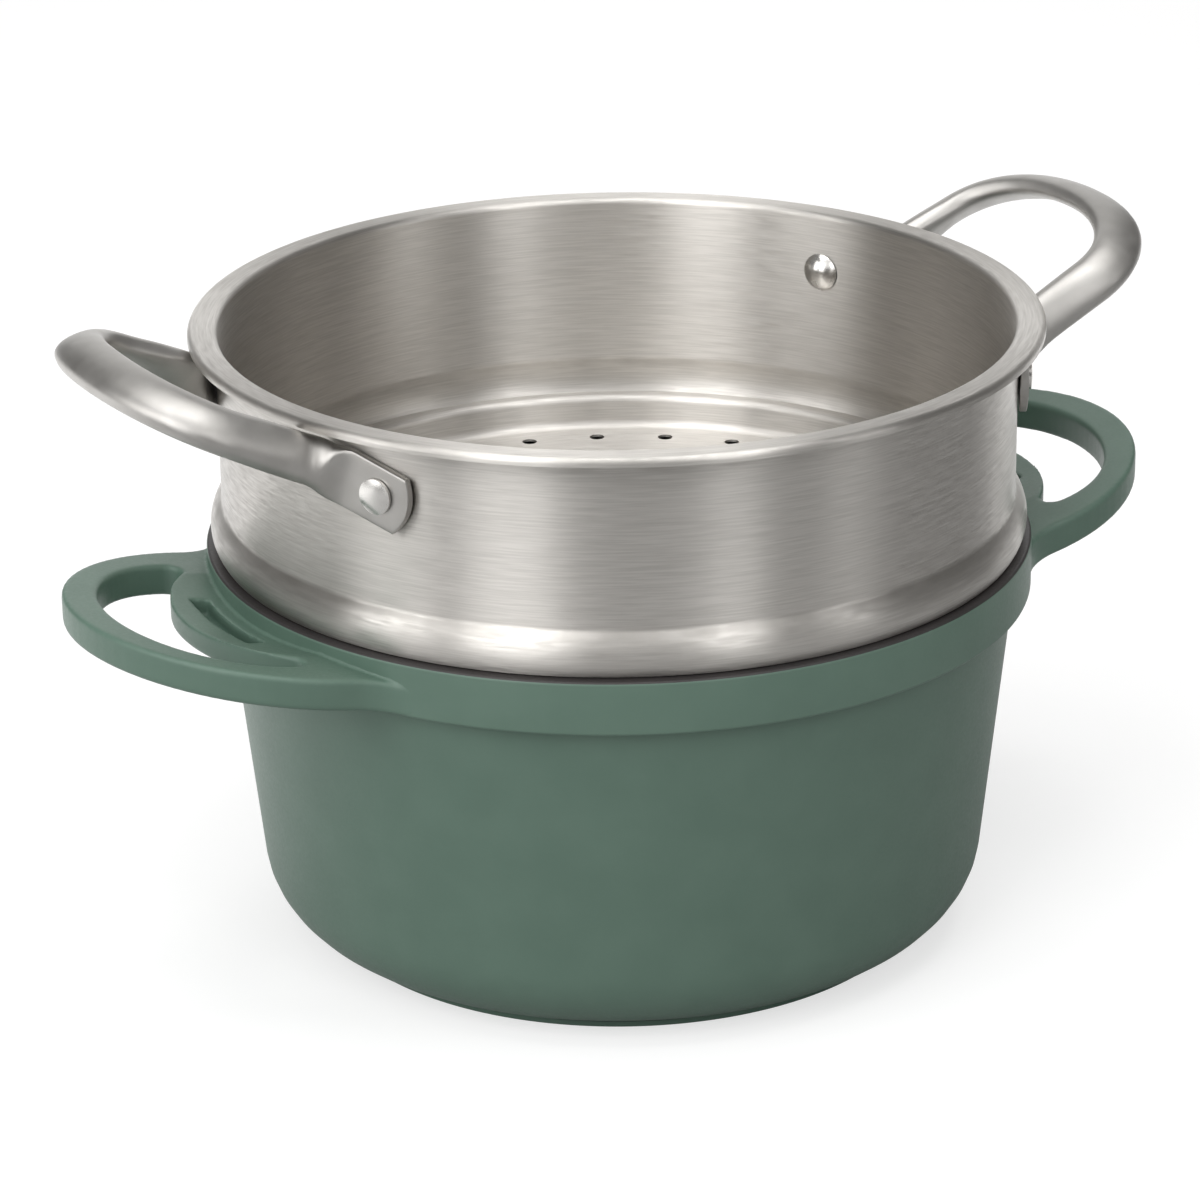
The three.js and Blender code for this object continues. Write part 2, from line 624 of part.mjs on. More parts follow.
const steamer = new THREE.Group();
steamer.rotation.z = radians(STEAMER_TURN);
steamer.add(piece('steamer_basket', steamerBasket(), brushedSteel));
for (const [name, turn] of [['steamer_handle_right', 0], ['steamer_handle_left', 180]]) {
  const handle = piece(name, steamerHandle(), polishedSteel);
  handle.rotation.z = radians(turn);
  steamer.add(handle);
}
const rivetNames = ['rivet_right_front', 'rivet_right_rear', 'rivet_left_rear', 'rivet_left_front'];
rivetNames.forEach((name, i) => {
  const fastener = piece(name, rivet(), rivetSteel);
  fastener.applyMatrix4(wallPlace(rivetAngles[i]));
  steamer.add(fastener);
});
steamerPot.add(steamer);

export default steamerPot;
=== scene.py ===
"""Steamer pot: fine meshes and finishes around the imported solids, in a plain studio."""
import math

import bmesh
import bpy
from mathutils import Matrix, Vector


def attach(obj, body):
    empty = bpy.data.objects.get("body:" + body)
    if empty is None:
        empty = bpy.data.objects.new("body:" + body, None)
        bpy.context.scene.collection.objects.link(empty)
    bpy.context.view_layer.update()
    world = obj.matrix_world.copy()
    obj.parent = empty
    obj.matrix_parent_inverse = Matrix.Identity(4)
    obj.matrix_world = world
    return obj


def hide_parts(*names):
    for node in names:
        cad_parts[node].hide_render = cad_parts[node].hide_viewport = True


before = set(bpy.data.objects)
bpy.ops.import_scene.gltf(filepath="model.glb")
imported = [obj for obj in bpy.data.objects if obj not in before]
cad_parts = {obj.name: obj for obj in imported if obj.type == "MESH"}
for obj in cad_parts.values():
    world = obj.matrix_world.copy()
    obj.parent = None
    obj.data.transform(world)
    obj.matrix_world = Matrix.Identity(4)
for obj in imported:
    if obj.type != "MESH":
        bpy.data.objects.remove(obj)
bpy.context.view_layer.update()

MM = 0.001

# Cast pot
POT_HEIGHT = 124.5 * MM
BAND_RADIUS = 126.0 * MM
BAND_HEIGHT = 16.6 * MM
BAND_OVERHANG = 5.1 * MM
BODY_DRAFT = math.radians(6.1)
BODY_CORNER = 24.0 * MM
POT_WALL = 3.4 * MM
POT_FLOOR = 5.5 * MM
FOOT_INSET = 32.5 * MM
FOOT_HEIGHT = 2.1 * MM
FOOT_RING_WIDTH = 15.5 * MM
RIM_WIDTH = 6.8 * MM
MOUTH_DEPTH = 13.0 * MM
MOUTH_STEP = 1.5 * MM
RIM_ROUND = 1.2 * MM
FINE_ROUND = 0.6 * MM
CREASE_ROUND = 0.3 * MM
DISC_THICKNESS = 1.2 * MM
FIT_GAP = 0.3 * MM

# Loop handles of the pot
HANDLE_REACH = 53.0 * MM
HANDLE_HALF_WIDTH = 60.0 * MM
HANDLE_THICKNESS = 9.8 * MM
HANDLE_DROP = 3.3 * MM
HANDLE_TILT = math.radians(10.6)
HANDLE_BLEND = 18.0 * MM
HANDLE_EDGE = 1.4 * MM
GRIP_TIP_WIDTH = 11.0 * MM
GRIP_SIDE_WIDTH = 14.0 * MM
BRIDGE_WIDTH = 19.0 * MM
BRIDGE_CURVE = 57.0 * MM
BRIDGE_DIP = 2.8 * MM
BRIDGE_DIP_WIDTH = 76.0 * MM
HOLE_CORNER = 4.0 * MM
POCKET_FROM_BAND = 5.0 * MM
POCKET_WIDTH = 5.4 * MM
POCKET_LENGTH = 40.0 * MM
POCKET_DEPTH = 4.5 * MM
LUG_UNDER_BAND = 0.12 * MM
LUG_ANGLE = math.radians(42.0)

# Steamer. The flange is a hair narrower than the solid's, so that the rounder lip stays inside its box,
# and its inner fillet is smaller than the solid's.
STEAMER_TURN = math.radians(-1.6)
SHEET = 0.8 * MM
WALL_OVER_MOUTH = 1.6 * MM
STEAMER_HEIGHT = 67.6 * MM
FLANGE_WIDTH = 8.14 * MM
FLANGE_FILLET = 1.2 * MM
LIP_ROUND = 1.0 * MM
LIP_DROP = 1.8 * MM
BEAD_PROUD = 3.6 * MM
BEAD_HEIGHT = 14.1 * MM
BEAD_CURVE = 9.6 * MM
BEAD_FILLET = 2.0 * MM
PLUG_CLEARANCE = 1.2 * MM
PLUG_DEPTH = 10.6 * MM
PLUG_CORNER = 3.7 * MM
SHELF_CORNER = 1.6 * MM
HOLE_RINGS = 5
HOLES_PER_STEP = 6
HOLE_DIAMETER = 4.8 * MM
HOLE_MARGIN = 10.8 * MM

# Rivets and handles of the steamer. The loop tilts a hair less than the solid's, to stay inside its box.
RIVET_ANGLE = math.radians(28.9)
RIVET_DROP = 19.4 * MM
SHANK_DIAMETER = 4.0 * MM
OUTER_HEAD_DIAMETER = 10.5 * MM
OUTER_HEAD_HEIGHT = 1.7 * MM
INNER_HEAD_DIAMETER = 12.0 * MM
INNER_HEAD_HEIGHT = 3.2 * MM
TAB_WIDTH = 18.0 * MM
TAB_THICKNESS = 2.6 * MM
TAB_TILT = math.radians(16.5)
TAB_PAST_RIVET = 10.7 * MM
TAB_END_CURVE = 15.0 * MM
TAB_LENGTH = 19.1 * MM
TAB_FLAT = 7.0 * MM
BEND_LENGTH = 9.0 * MM
PINCH_START = 0.35
LOOP_REACH = 45.9 * MM
LOOP_HALF_WIDTH = 42.0 * MM
LOOP_END_DEPTH = 25.6 * MM
LOOP_SQUARENESS = 0.91
LOOP_TILT = math.radians(26.45)
TIP_SECTION = (15.1 * MM, 7.3 * MM)
ARM_SECTION = (14.4 * MM, 8.4 * MM)
TIP_LEAN = math.radians(18.5)
ARM_LEAN = math.radians(57.0)
UPRIGHT_AT = 0.5
OUTER_POWER = 0.9
INNER_POWER = 0.5
TAB_POWER = 0.25

# Fineness of the meshes
TURN_STEPS = 192
ARC_STEPS = 8
BEAD_STEPS = 16
EDGE_STEPS = 4
PLAN_STEPS = 40
CORNER_STEPS = 20
LUG_STEPS = 80
ROLLER_SIDES = 640
HOLE_SIDES = 24
RIVET_SIDES = 48
SECTION_POINTS = 28
LOOP_STEPS = 20
ARM_STEPS = 4
BEND_STEPS = 10
TAB_END_STEPS = 8
CAST_VOXEL = 0.5 * MM
CAST_SMOOTHING = 4
CAST_SOFTNESS = 0.5
MERGE = 0.002 * MM
SHARP_ANGLE = math.radians(32.0)
EDGE_ANGLE = math.radians(60.0)

# Heights and radii that follow from the sizes
BAND_BOTTOM = POT_HEIGHT - BAND_HEIGHT
SEAT_Z = POT_HEIGHT + FIT_GAP
FLOOR_Z = SEAT_Z - PLUG_DEPTH
STEAMER_TOP = SEAT_Z + STEAMER_HEIGHT
FOOT_RADIUS = BAND_RADIUS - FOOT_INSET
DISC_RADIUS = FOOT_RADIUS - FOOT_RING_WIDTH
MOUTH_RADIUS = BAND_RADIUS - RIM_WIDTH
STEAMER_RADIUS = MOUTH_RADIUS + WALL_OVER_MOUTH
PLUG_RADIUS = MOUTH_RADIUS - PLUG_CLEARANCE
RIVET_Z = STEAMER_TOP - RIVET_DROP
HANDLE_TOP_Z = POT_HEIGHT - HANDLE_DROP
LOOP_TIP_X = STEAMER_RADIUS + LOOP_REACH
LOOP_END_X = LOOP_TIP_X - LOOP_END_DEPTH

# Turns about the axis at which the pieces that come in pairs and fours stand
SIDES = {"right": 0.0, "left": math.pi}
RIVETS = {
    "rivet_right_front": -RIVET_ANGLE,
    "rivet_right_rear": RIVET_ANGLE,
    "rivet_left_rear": math.pi - RIVET_ANGLE,
    "rivet_left_front": math.pi + RIVET_ANGLE,
}

# Faces whose normals point up or inwards more than this carry the lining
LINING_UP = 0.5
LINING_INWARD = 0.2

# Finishes: the two tones of each, its least and greatest roughness, and how far brushing stretches glints.
# A quarter of a turn lays the glints across the brushing, which runs round the axis.
GREEN_TONES = ((0.095, 0.159, 0.123), (0.104, 0.171, 0.133))
GREEN_ROUGHNESS = (0.42, 0.5)
LINING_TONES = ((0.028, 0.025, 0.025), (0.034, 0.030, 0.030))
LINING_ROUGHNESS = (0.4, 0.48)
DISC_TONES = ((0.42, 0.42, 0.41), (0.48, 0.48, 0.47))
DISC_ROUGHNESS = (0.3, 0.4)
DISC_STRETCH = 0.5
SHEET_TONES = ((0.555, 0.535, 0.505), (0.645, 0.622, 0.59))
SHEET_ROUGHNESS = (0.34, 0.48)
SHEET_STRETCH = 0.93
HANDLE_TONES = ((0.43, 0.417, 0.398), (0.48, 0.467, 0.448))
HANDLE_ROUGHNESS = (0.41, 0.49)
RIVET_TONES = ((0.64, 0.625, 0.60), (0.70, 0.685, 0.66))
RIVET_ROUGHNESS = (0.2, 0.3)
ACROSS_THE_BRUSHING = 0.25

# Patterns in the finishes: noises by scale and detail, brushing by length and fineness of its lines,
# bumps by strength and depth. Noise stays near its middle, in these ranges.
SPRAY_DRIFT = (60.0, 4.0)
SPRAY_GLOSS = (900.0, 2.0)
SPRAY_GRAIN = (1500.0, 2.0)
SPRAY_BUMP = (0.12, 0.1 * MM)
HAIR_LINES = (18.0, 2200.0)
HAIR_NOISE = (1.0, 2.0)
LONG_LINES = (8.0, 1900.0)
LONG_NOISE = (1.0, 3.0)
HAIR_BUMP = (0.3, 0.02 * MM)
SATIN_CLOUDS = (90.0, 5.0)
SATIN_GLOSS = (160.0, 4.0)
SATIN_WAVES = (70.0, 1.0)
SATIN_BUMP = (0.05, 1.0 * MM)
GLOSS_RANGE = (0.3, 0.7)
TONE_RANGE = (0.35, 0.65)

# Camera of the photograph, taken to be 1200 pixels square
VIEW_TURN = math.radians(-28.99)
VIEW_RISE = math.radians(21.63)
VIEW_ROLL = math.radians(-0.789)
VIEW_DISTANCE = 1420.7 * MM
VIEW_LENS = 138.24
VIEW_SIDE_SHIFT = -6.1 * MM
VIEW_HEIGHT = 99.75 * MM

# Floor of the studio: what the camera sees, and what the steel mirrors.
# Mirrored, it is grey in front of the pot and turns white behind it, on the left more than on the right.
FLOOR_SIZE = 6.0
FLOOR_GREY = 0.42
FLOOR_GLOW = 0.65
BACKGROUND_GLOW = 1.0
BACKGROUND_TURN = -150.0
BACKGROUND_START = -0.14
BACKGROUND_FULL = 0.3

# Lamps: turn from the camera's heading and rise in degrees, distance and size in metres, power in watts
LAMPS = {
    "key_left": (-30.0, 28.0, 1.9, (0.8, 1.8), 13.0),
    "side_left": (-64.0, 26.0, 2.0, (0.9, 1.5), 11.0),
    "fill_right": (31.0, 26.0, 2.0, (0.5, 1.6), 4.5),
    "side_right": (66.0, 26.0, 2.0, (0.5, 1.4), 3.0),
    "front": (0.0, 44.0, 1.9, (2.6, 1.3), 9.0),
    "top": (0.0, 86.0, 1.7, (1.6, 1.0), 18.0),
    "back": (180.0, 22.0, 2.0, (1.8, 1.8), 9.0),
}
WORLD_COLOUR = (1.0, 0.99, 0.97, 1.0)
WORLD_LEVEL = 0.18


# Helpers for profiles and meshes

def arc(centre_x, centre_y, radius_x, radius_y, start, end, steps):
    """Points of an elliptic arc in a plane, angles in degrees."""
    points = []
    for step in range(steps + 1):
        angle = math.radians(start + (end - start) * step / steps)
        points.append(Vector((centre_x + radius_x * math.cos(angle), centre_y + radius_y * math.sin(angle))))
    return points


def rounded(corners):
    """Points of a profile given as (radius, height, rounding): each rounded corner becomes an arc."""
    points = []
    for i, (radius, height, rounding) in enumerate(corners):
        here = Vector((radius, height))
        if not rounding:
            points.append(here)
            continue
        before = (Vector(corners[i - 1][:2]) - here).normalized()
        after = (Vector(corners[i + 1][:2]) - here).normalized()
        half = before.angle(after) / 2
        centre = here + (before + after).normalized() * (rounding / math.sin(half))
        start = here + before * (rounding / math.tan(half)) - centre
        way = 1 if before.cross(after) < 0 else -1
        for step in range(ARC_STEPS + 1):
            turn = Matrix.Rotation(way * (math.pi - 2 * half) * step / ARC_STEPS, 2)
            points.append(centre + turn @ start)
    return points


def clean(bm):
    """Merge doubled vertices and turn the faces outwards."""
    bmesh.ops.remove_doubles(bm, verts=bm.verts, dist=MERGE)
    bmesh.ops.recalc_face_normals(bm, faces=bm.faces)


def turned(profile, steps=TURN_STEPS):
    """A mesh turned round the Z axis from a profile of (radius, height) points."""
    bm = bmesh.new()
    verts = [bm.verts.new((p.x, 0.0, p.y)) for p in profile]
    edges = [bm.edges.new(pair) for pair in zip(verts, verts[1:])]
    bmesh.ops.spin(bm, geom=verts + edges, cent=(0, 0, 0), axis=(0, 0, 1), angle=2 * math.pi,
                   steps=steps, use_merge=True)
    clean(bm)
    return bm


def turn_about_axis(bm, turn):
    bmesh.ops.rotate(bm, verts=bm.verts, cent=(0, 0, 0), matrix=Matrix.Rotation(turn, 3, "Z"))


def make_object(name, bm):
    mesh = bpy.data.meshes.new(name)
    bm.to_mesh(mesh)
    bm.free()
    piece = bpy.data.objects.new(name, mesh)
    bpy.context.scene.collection.objects.link(piece)
    return piece


def dress(piece, body, materials):
    """Shade a piece smooth between its sharp edges, give it its materials and put it on its body."""
    piece.data.polygons.foreach_set("use_smooth", [True] * len(piece.data.polygons))
    piece.data.set_sharp_from_angle(angle=SHARP_ANGLE)
    for material in materials:
        piece.data.materials.append(material)
    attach(piece, body)
    return piece


def bake_modifier(piece, kind, **settings):
    """Put the result of a modifier with these settings into a piece's mesh."""
    modifier = piece.modifiers.new(kind.lower(), kind)
    for setting, value in settings.items():
        setattr(modifier, setting, value)
    graph = bpy.context.evaluated_depsgraph_get()
    mesh = bpy.data.meshes.new_from_object(piece.evaluated_get(graph))
    piece.modifiers.clear()
    piece.data = mesh


# Cast pot

def body_radius(height):
    """Outer radius of the drafted body at a height."""
    return BAND_RADIUS - BAND_OVERHANG - (BAND_BOTTOM - height) * math.tan(BODY_DRAFT)


def pot_profile():
    """Closed outline of the casting, from the recess for the disc round to the floor inside."""
    floor = FOOT_HEIGHT + POT_FLOOR
    recess_radius = DISC_RADIUS + FIT_GAP
    recess_top = DISC_THICKNESS + FIT_GAP
    mouth_bottom = POT_HEIGHT - MOUTH_DEPTH
    step_bottom = mouth_bottom - MOUTH_STEP
    return rounded([
        (0.0, recess_top, 0.0),
        (recess_radius, recess_top, 0.0),
        (recess_radius, 0.0, CREASE_ROUND),
        (FOOT_RADIUS, 0.0, FINE_ROUND),
        (FOOT_RADIUS, FOOT_HEIGHT, CREASE_ROUND),
        (body_radius(FOOT_HEIGHT), FOOT_HEIGHT, BODY_CORNER),
        (body_radius(BAND_BOTTOM), BAND_BOTTOM, RIM_ROUND),
        (BAND_RADIUS, BAND_BOTTOM, RIM_ROUND),
        (BAND_RADIUS, POT_HEIGHT, RIM_ROUND),
        (MOUTH_RADIUS, POT_HEIGHT, RIM_ROUND),
        (MOUTH_RADIUS, mouth_bottom, FINE_ROUND),
        (body_radius(step_bottom) - POT_WALL, step_bottom, RIM_ROUND),
        (body_radius(floor) - POT_WALL, floor, BODY_CORNER - POT_WALL),
        (0.0, floor, 0.0),
    ])


def is_lining(face):
    """Faces of the floor, the inner wall and the top of the rim."""
    outward = Vector((*face.calc_center_median().xy, 0.0)).normalized()
    return face.normal.z > LINING_UP or face.normal.dot(outward) < -LINING_INWARD


def pot_shell(coating, lining):
    bm = turned(pot_profile())
    for face in bm.faces:
        face.material_index = 1 if is_lining(face) else 0
    piece = dress(make_object("pot_shell", bm), "pot", [coating, lining])
    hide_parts("pot_body")


def loop_plan():
    """Outline of a loop handle, whose sides run into the band through hollow blends."""
    blend_y = HANDLE_HALF_WIDTH + HANDLE_BLEND
    blend_x = math.sqrt((BAND_RADIUS + HANDLE_BLEND) ** 2 - blend_y ** 2)
    root = math.degrees(math.atan2(blend_y, blend_x))
    inside = BAND_RADIUS - POT_WALL
    reach = BAND_RADIUS + HANDLE_REACH - blend_x
    return [
        *arc(blend_x, -blend_y, HANDLE_BLEND, HANDLE_BLEND, 180 - root, 90, CORNER_STEPS),
        *arc(blend_x, 0.0, reach, HANDLE_HALF_WIDTH, -90, 90, PLAN_STEPS)[1:],
        *arc(blend_x, blend_y, HANDLE_BLEND, HANDLE_BLEND, -90, root - 180, CORNER_STEPS)[1:],
        *arc(0.0, 0.0, inside, inside, root, -root, PLAN_STEPS),
    ]


def hole_plan():
    """Outline of the finger hole: the bridge bulges into it between two small round corners."""
    half_width = HANDLE_HALF_WIDTH - GRIP_SIDE_WIDTH
    corner_y = half_width - HOLE_CORNER
    bridge_x = BAND_RADIUS + BRIDGE_WIDTH - BRIDGE_CURVE
    hole_x = bridge_x + math.sqrt((BRIDGE_CURVE + HOLE_CORNER) ** 2 - corner_y ** 2)
    depth = BAND_RADIUS + HANDLE_REACH - GRIP_TIP_WIDTH - hole_x
    meet = math.degrees(math.atan2(corner_y, hole_x - bridge_x))
    return [
        *arc(hole_x, 0.0, depth, half_width, -90, 90, PLAN_STEPS),
        *arc(hole_x, corner_y, HOLE_CORNER, HOLE_CORNER, 90, 180 + meet, CORNER_STEPS)[1:],
        *arc(bridge_x, 0.0, BRIDGE_CURVE, BRIDGE_CURVE, meet, -meet, PLAN_STEPS)[1:],
        *arc(hole_x, -corner_y, HOLE_CORNER, HOLE_CORNER, 180 - meet, 270, CORNER_STEPS)[1:-1],
    ]


def pocket_plan():
    """Outline of the blind pocket, which follows the band."""
    inner = BAND_RADIUS + POCKET_FROM_BAND
    outer = inner + POCKET_WIDTH
    half = math.degrees(POCKET_LENGTH / 2 / (inner + POCKET_WIDTH / 2))
    return [
        *arc(0.0, 0.0, outer, outer, -half, half, CORNER_STEPS),
        *arc(0.0, 0.0, inner, inner, half, -half, CORNER_STEPS),
    ]


def plate(plans, top, bottom):
    """A flat plate between two heights, with the second and later plans as holes."""
    bm = bmesh.new()
    edges = []
    for plan in plans:
        verts = [bm.verts.new((p.x, p.y, top)) for p in plan]
        edges += [bm.edges.new(pair) for pair in zip(verts, verts[1:] + verts[:1])]
    filled = bmesh.ops.triangle_fill(bm, edges=edges, use_beauty=True)
    faces = [item for item in filled["geom"] if isinstance(item, bmesh.types.BMFace)]
    grown = bmesh.ops.extrude_face_region(bm, geom=faces, use_keep_orig=True)
    verts = [item for item in grown["geom"] if isinstance(item, bmesh.types.BMVert)]
    bmesh.ops.translate(bm, verts=verts, vec=(0.0, 0.0, bottom - top))
    bmesh.ops.recalc_face_normals(bm, faces=bm.faces)
    return bm


def tip_up(bm):
    """Tilt a level plate so that it rises outwards from the band."""
    shear = Matrix.Identity(4)
    shear[2][0] = math.tan(HANDLE_TILT)
    shear[2][3] = HANDLE_TOP_Z - BAND_RADIUS * math.tan(HANDLE_TILT)
    bmesh.ops.transform(bm, matrix=shear, verts=bm.verts)
    return bm


def dish_cutter():
    """A wide roller over the bridge, lowest in the middle."""
    half = BRIDGE_DIP_WIDTH / 2
    radius = (half ** 2 + BRIDGE_DIP ** 2) / (2 * BRIDGE_DIP)
    bm = bmesh.new()
    bmesh.ops.create_cone(bm, cap_ends=True, segments=ROLLER_SIDES, radius1=radius, radius2=radius,
                          depth=BRIDGE_WIDTH * 2)
    place = Matrix.Translation((BAND_RADIUS + BRIDGE_WIDTH / 2, 0.0, radius - BRIDGE_DIP))
    bmesh.ops.transform(bm, matrix=place @ Matrix.Rotation(math.pi / 2, 4, "Y"), verts=bm.verts)
    return tip_up(bm)


def band_lug():
    """Piece of the band just under its surface, which the casting's fillets grow out of."""
    outer = BAND_RADIUS - LUG_UNDER_BAND
    inner = BAND_RADIUS - POT_WALL
    edge = math.degrees(LUG_ANGLE)
    plan = [
        *arc(0.0, 0.0, outer, outer, -edge, edge, LUG_STEPS),
        *arc(0.0, 0.0, inner, inner, edge, -edge, LUG_STEPS),
    ]
    return plate([plan], POT_HEIGHT - RIM_ROUND, BAND_BOTTOM + RIM_ROUND)


def soften_edges(piece):
    """Round a plate's edges before the remesh, which would leave steps along sharp ones."""
    bake_modifier(piece, "BEVEL", limit_method="ANGLE", angle_limit=EDGE_ANGLE, width=HANDLE_EDGE,
                  segments=EDGE_STEPS, use_clamp_overlap=False)


def cut(piece, bm):
    cutter = make_object("cutter", bm)
    bake_modifier(piece, "BOOLEAN", operation="DIFFERENCE", solver="EXACT", object=cutter)
    bpy.data.objects.remove(cutter)


def add_lug(piece):
    """Put the lug into a loop's mesh, so that the remesh fuses the two."""
    lug_bm = band_lug()
    lug = bpy.data.meshes.new("lug")
    lug_bm.to_mesh(lug)
    lug_bm.free()
    bm = bmesh.new()
    bm.from_mesh(piece.data)
    bm.from_mesh(lug)
    bm.to_mesh(piece.data)
    bm.free()
    bpy.data.meshes.remove(lug)


def fuse(piece):
    """Remesh a loop and its lug as one skin, and give it back smoothed, to be placed."""
    bake_modifier(piece, "REMESH", mode="VOXEL", voxel_size=CAST_VOXEL)
    bm = bmesh.new()
    bm.from_mesh(piece.data)
    for _ in range(CAST_SMOOTHING):
        bmesh.ops.smooth_vert(bm, verts=bm.verts, factor=CAST_SOFTNESS,
                              use_axis_x=True, use_axis_y=True, use_axis_z=True)
    return bm


def cast_loop(side, turn, coating):
    """One loop handle with its dished bridge and blind pocket."""
    piece = make_object("pot_loop_" + side, tip_up(plate([loop_plan(), hole_plan()], 0.0, -HANDLE_THICKNESS)))
    soften_edges(piece)
    cut(piece, dish_cutter())
    cut(piece, tip_up(plate([pocket_plan()], BRIDGE_DIP, -BRIDGE_DIP - POCKET_DEPTH)))
    add_lug(piece)
    bm = fuse(piece)
    turn_about_axis(bm, turn)
    bm.to_mesh(piece.data)
    bm.free()
    dress(piece, "pot", [coating])


def base_disc(steel):
    profile = rounded([
        (0.0, 0.0, 0.0),
        (DISC_RADIUS, 0.0, CREASE_ROUND),
        (DISC_RADIUS, DISC_THICKNESS, CREASE_ROUND),
        (0.0, DISC_THICKNESS, 0.0),
    ])
    piece = dress(make_object("base_disc", turned(profile)), "pot", [steel])
    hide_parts("induction_disc")


# Steamer

def wall_profile():
    """Outer face of the drawn sheet, from the edge of the floor to the rolled lip."""
    lip = STEAMER_RADIUS + FLANGE_WIDTH
    bead_r = STEAMER_RADIUS + BEAD_PROUD - BEAD_CURVE
    bead_fillet_r = STEAMER_RADIUS + BEAD_FILLET
    bead_fillet_z = SEAT_Z + BEAD_HEIGHT
    bead_top = math.degrees(math.acos((bead_fillet_r - bead_r) / (BEAD_CURVE + BEAD_FILLET)))
    bead_z = bead_fillet_z - (BEAD_CURVE + BEAD_FILLET) * math.sin(math.radians(bead_top))
    bead_bottom = -math.degrees(math.asin((bead_z - SEAT_Z) / BEAD_CURVE))
    fillet_z = STEAMER_TOP - SHEET - FLANGE_FILLET
    lip_z = STEAMER_TOP - LIP_ROUND
    plug_z = FLOOR_Z + PLUG_CORNER
    shelf_z = SEAT_Z - SHELF_CORNER
    return [
        *arc(PLUG_RADIUS - PLUG_CORNER, plug_z, PLUG_CORNER, PLUG_CORNER, -90, 0, ARC_STEPS),
        *arc(PLUG_RADIUS + SHELF_CORNER, shelf_z, SHELF_CORNER, SHELF_CORNER, 180, 90, ARC_STEPS),
        *arc(bead_r, bead_z, BEAD_CURVE, BEAD_CURVE, bead_bottom, bead_top, BEAD_STEPS)[:-1],
        *arc(bead_fillet_r, bead_fillet_z, BEAD_FILLET, BEAD_FILLET, 180 + bead_top, 180, ARC_STEPS),
        *arc(STEAMER_RADIUS + FLANGE_FILLET, fillet_z, FLANGE_FILLET, FLANGE_FILLET, 180, 90, ARC_STEPS),
        *arc(lip - LIP_ROUND - SHEET, lip_z - SHEET, LIP_ROUND, LIP_ROUND, 90, 0, ARC_STEPS),
        Vector((lip - SHEET, STEAMER_TOP - LIP_DROP - SHEET)),
    ]


def hole_places():
    """Middles of the steam holes, in rings round the one in the centre."""
    pitch = (PLUG_RADIUS - HOLE_MARGIN) / HOLE_RINGS
    places = [Vector((0.0, 0.0))]
    for ring in range(1, HOLE_RINGS + 1):
        count = ring * HOLES_PER_STEP
        for i in range(count):
            angle = (i + 0.5) / count * 2 * math.pi
            places.append(Vector((ring * pitch * math.cos(angle), ring * pitch * math.sin(angle))))
    return places


def perforated_floor(bm, edge_radius):
    """Flat floor with its steam holes, filled between the edge circle and the hole circles."""
    circles = [(Vector((0.0, 0.0)), edge_radius, TURN_STEPS)]
    circles += [(place, HOLE_DIAMETER / 2, HOLE_SIDES) for place in hole_places()]
    verts = []
    for centre, radius, sides in circles:
        place = Matrix.Translation((*centre, FLOOR_Z))
        made = bmesh.ops.create_circle(bm, cap_ends=False, segments=sides, radius=radius, matrix=place)
        verts += made["verts"]
    edges = list({edge for vert in verts for edge in vert.link_edges})
    bmesh.ops.triangle_fill(bm, edges=edges, use_beauty=True)


def steamer_sheet(steel):
    """Wall and floor as one skin, thickened inwards."""
    profile = wall_profile()
    bm = turned(profile)
    perforated_floor(bm, profile[0].x)
    clean(bm)
    turn_about_axis(bm, STEAMER_TURN)
    bmesh.ops.solidify(bm, geom=bm.faces, thickness=-SHEET)
    bmesh.ops.recalc_face_normals(bm, faces=bm.faces)
    piece = dress(make_object("steamer_sheet", bm), "steamer", [steel])
    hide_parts("steamer_basket")


def smooth(amount):
    """Ease from 0 to 1, level at both ends."""
    amount = min(max(amount, 0.0), 1.0)
    return amount * amount * (3 - 2 * amount)


def blend(a, b, amount):
    return a + (b - a) * amount


def section(width, thickness, lean, flat, stand_off=0.0):
    return {"width": width, "thickness": thickness, "lean": lean, "flat": flat, "stand_off": stand_off}


def tab_section(width, around, flat):
    """Section round the bend: it turns upright, keeps its inner face on the wall and is pinched flat."""
    thickness = blend(ARM_SECTION[1], TAB_THICKNESS, flat)
    lean = blend(ARM_LEAN, math.pi / 2, min(around / UPRIGHT_AT, 1.0))
    stand_off = around * (thickness - TAB_THICKNESS) / 2
    return section(blend(ARM_SECTION[0], width, flat), thickness, lean, flat, stand_off)


def loop_section(x, arm_x):
    """Section of the loop, which changes from the start of its arm to its tip."""
    out = smooth((x - arm_x) / (LOOP_TIP_X - arm_x))
    width = blend(ARM_SECTION[0], TIP_SECTION[0], out)
    thickness = blend(ARM_SECTION[1], TIP_SECTION[1], out)
    return section(width, thickness, blend(ARM_LEAN, TIP_LEAN, out), 0.0)


def loop_point(corner, x, y):
    """Point of the loop's tilted plane, which runs through the corner of the bend."""
    return Vector((x, y, corner.z + (x - corner.x) * math.tan(LOOP_TILT)))


def loop_stations(corner, arm_start, arm_end):
    """Round the end of the loop from its tip, then along the straight arm."""
    stations = []
    for step in range(LOOP_STEPS + 1):
        turn = step / LOOP_STEPS * math.pi / 2
        x = LOOP_END_X + LOOP_END_DEPTH * abs(math.cos(turn)) ** LOOP_SQUARENESS
        y = LOOP_HALF_WIDTH * math.sin(turn) ** LOOP_SQUARENESS
        stations.append((loop_point(corner, x, y), loop_section(x, arm_start.x)))
    for step in range(1, ARM_STEPS + 1):
        place = arm_end.lerp(arm_start, step / ARM_STEPS)
        stations.append((place, loop_section(place.x, arm_start.x)))
    return stations


